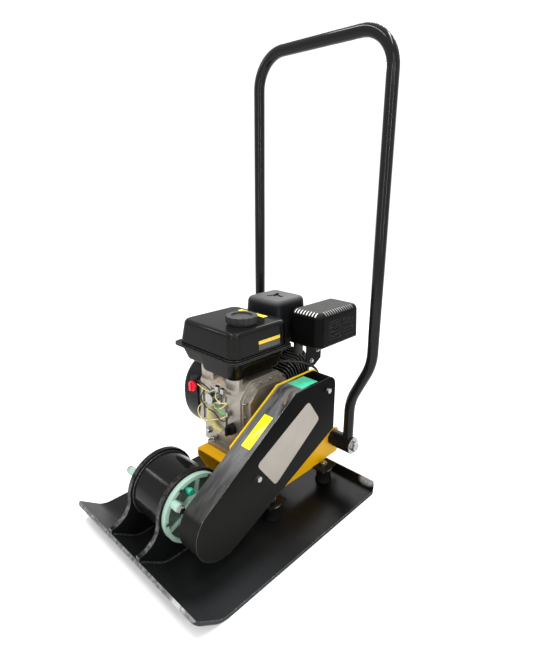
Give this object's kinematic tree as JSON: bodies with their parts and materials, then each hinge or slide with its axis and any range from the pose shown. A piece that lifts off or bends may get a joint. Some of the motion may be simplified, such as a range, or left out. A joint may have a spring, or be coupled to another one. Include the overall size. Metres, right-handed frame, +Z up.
{
  "type": "plate compactor",
  "caption": "Walk-behind forward plate compactor: turned-up steel plate, belt-driven eccentric exciter, small petrol engine on a rubber-mounted deck, folding tube handle.",
  "frame": {"origin": "middle of the flat sole that rests on the ground", "axes": "+X forward, the way the machine travels; +Y to the operator's left; +Z up"},
  "size_m": [0.647, 0.45, 1.0795],
  "materials": {
    "black_paint": "black gloss paint, worn on the edges",
    "black_plastic": "black moulded plastic",
    "black_shield": "black heat-resistant paint",
    "sooty_steel": "heat-darkened steel",
    "deck_yellow": "warm yellow gloss paint",
    "cast_aluminium": "sand-cast aluminium",
    "bright_zinc": "zinc-plated steel",
    "bare_steel": "machined steel",
    "flywheel_iron": "cast iron",
    "cover_green": "pale sea-green paint",
    "cap_green": "green plastic",
    "rubber": "black rubber",
    "switch_red": "red plastic",
    "rope": "braided cord",
    "filter_foam": "oiled foam"
  },
  "bodies": {
    "base": {"base_plate": "black_paint", "exciter_ribs": "black_paint", "exciter_tube": "black_paint", "exciter_cover_left": "cover_green", "exciter_cover_right": "cover_green", "cover_bolts": "bright_zinc", "exciter_bearings": "bare_steel", "shaft_seal": "rubber", "oil_filler": "bright_zinc", "breather_cap": "cap_green", "mount_feet": "bare_steel", "rubber_mounts": "rubber"},
    "exciter_rotor": {"exciter_shaft": "bare_steel", "eccentric_weight": "bare_steel", "exciter_pulley": "bare_steel", "pulley_bolt": "bright_zinc"},
    "deck": {"mount_studs": "bright_zinc", "engine_deck": "deck_yellow", "guard_back_plate": "deck_yellow", "belt_guard": "black_paint", "guard_bolts": "bright_zinc", "v_belt": "rubber", "crankcase": "cast_aluminium", "crankcase_cover": "cast_aluminium", "case_cover_bolts": "bright_zinc", "engine_bolts": "bright_zinc", "cylinder_barrel": "black_shield", "cylinder_head": "black_shield", "valve_cover": "black_paint", "spark_plug": "rubber", "fan_housing": "black_plastic", "recoil_cover": "black_plastic", "switch_box": "black_plastic", "fuel_tank": "black_paint", "carburettor": "cast_aluminium", "air_cleaner_base": "black_plastic", "air_cleaner_cover": "black_plastic", "air_filter": "filter_foam", "muffler": "sooty_steel", "muffler_guard": "black_shield", "exhaust_pipe": "sooty_steel", "oil_sensor": "bright_zinc", "drain_bolt": "bright_zinc", "pivot_bolts": "bright_zinc", "pivot_spacers": "bare_steel"},
    "crank": {"crankshaft": "bare_steel", "flywheel": "flywheel_iron", "clutch_drum": "bare_steel", "clutch_bolt": "bright_zinc"},
    "handle": {"handle_tube": "black_paint", "handle_sleeves": "black_paint", "handle_bushes": "rubber"},
    "cap": {"fuel_cap": "black_plastic"},
    "starter": {"starter_grip": "black_plastic", "starter_rope": "rope"},
    "switch": {"switch_knob": "switch_red"},
    "throttle": {"throttle_lever": "black_plastic"},
    "choke": {"choke_lever": "black_plastic"},
    "fuel_valve": {"fuel_valve_lever": "black_plastic"},
    "dipstick": {"oil_dipstick": "black_plastic"}
  },
  "joints": [
    {"name": "deck_bounce", "type": "slide", "parent": "base", "child": "deck", "axis": [0, 0, 1], "range_m": [-0.004, 0.004], "stiffness_N_per_m": 200000, "springref_m": 0.002, "deforming": ["rubber_mounts", "v_belt"]},
    {"name": "exciter_spin", "type": "hinge", "parent": "base", "child": "exciter_rotor", "pos_m": [0.18, 0, 0.108], "axis": [0, 1, 0], "continuous": true},
    {"name": "crank_spin", "type": "hinge", "parent": "deck", "child": "crank", "pos_m": [-0.062, 0, 0.25], "axis": [0, 1, 0], "continuous": true},
    {"name": "handle_fold", "type": "hinge", "parent": "deck", "child": "handle", "pos_m": [-0.252, 0, 0.106], "axis": [0, 1, 0], "range_deg": [-55, 16]},
    {"name": "fuel_cap_turn", "type": "hinge", "parent": "deck", "child": "cap", "pos_m": [-0.0105, -0.006, 0.46], "axis": [0, 0, 1], "range_deg": [0, 90]},
    {"name": "starter_pull", "type": "slide", "parent": "deck", "child": "starter", "axis": [0, 0, 1], "range_m": [0, 0.1], "stiffness_N_per_m": 60, "springref_m": -0.05},
    {"name": "switch_turn", "type": "hinge", "parent": "deck", "child": "switch", "pos_m": [0.044, -0.124, 0.288], "axis": [1, 0, 0], "range_deg": [0, 60]},
    {"name": "throttle_turn", "type": "hinge", "parent": "deck", "child": "throttle", "pos_m": [-0.1555, -0.11, 0.354], "axis": [0, 1, 0], "range_deg": [0, 50]},
    {"name": "choke_turn", "type": "hinge", "parent": "deck", "child": "choke", "pos_m": [-0.1795, -0.11, 0.353], "axis": [0, 1, 0], "range_deg": [0, 40]},
    {"name": "fuel_valve_turn", "type": "hinge", "parent": "deck", "child": "fuel_valve", "pos_m": [-0.1775, -0.11, 0.339], "axis": [0, 1, 0], "range_deg": [-60, 0]},
    {"name": "dipstick_turn", "type": "hinge", "parent": "deck", "child": "dipstick", "pos_m": [0.038, 0.012, 0.222], "axis": [1, 0, 0], "range_deg": [0, 360]}
  ],
  "couplings": [
    {"joint": "crank_spin", "follows": "exciter_spin", "ratio": 0.65455}
  ]
}
